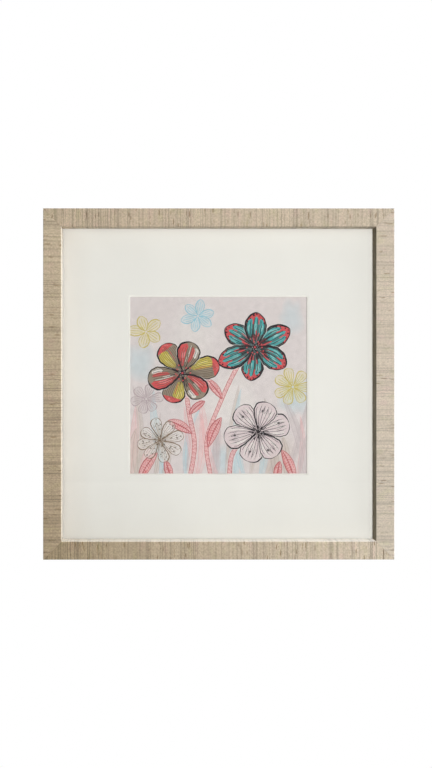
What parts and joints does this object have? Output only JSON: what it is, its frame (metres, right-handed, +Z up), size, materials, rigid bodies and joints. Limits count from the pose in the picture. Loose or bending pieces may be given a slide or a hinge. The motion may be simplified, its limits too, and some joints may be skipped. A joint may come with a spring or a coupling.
{
  "type": "framed print",
  "caption": "Square wall-hung framed print: deep flat moulding with a woven wrap, pane, wide bevelled window mat and a small botanical print.",
  "frame": {"origin": "on the wall, level with the hanger's middle notch, midway between the frame's sides", "axes": "+Z up, +Y from the frame into the wall, so the print faces -Y; +X to the right as seen from the front"},
  "size_m": [0.4, 0.0373, 0.4],
  "materials": {
    "woven_wrap": "matt woven wrap over wood, threads across each rail",
    "clear_pane": "clear, polished",
    "mat_board": "matt off-white board with a white bevelled core",
    "print_paper": "matt paper, botanical design in coloured inks",
    "hardboard": "brown pressed hardboard",
    "zinc_plated_steel": "zinc plated, satin",
    "bumper_rubber": "matt black"
  },
  "bodies": {
    "root": {"rail_top": "woven_wrap", "rail_bottom": "woven_wrap", "rail_left": "woven_wrap", "rail_right": "woven_wrap", "glazing": "clear_pane", "window_mat": "mat_board", "print_sheet": "print_paper", "backing_board": "hardboard", "retaining_point_1": "zinc_plated_steel", "retaining_point_2": "zinc_plated_steel", "retaining_point_3": "zinc_plated_steel", "retaining_point_4": "zinc_plated_steel", "retaining_point_5": "zinc_plated_steel", "retaining_point_6": "zinc_plated_steel", "retaining_point_7": "zinc_plated_steel", "retaining_point_8": "zinc_plated_steel", "hanger": "zinc_plated_steel", "hanger_nail_left": "zinc_plated_steel", "hanger_nail_right": "zinc_plated_steel", "bumper_left": "bumper_rubber", "bumper_right": "bumper_rubber"}
  },
  "joints": []
}
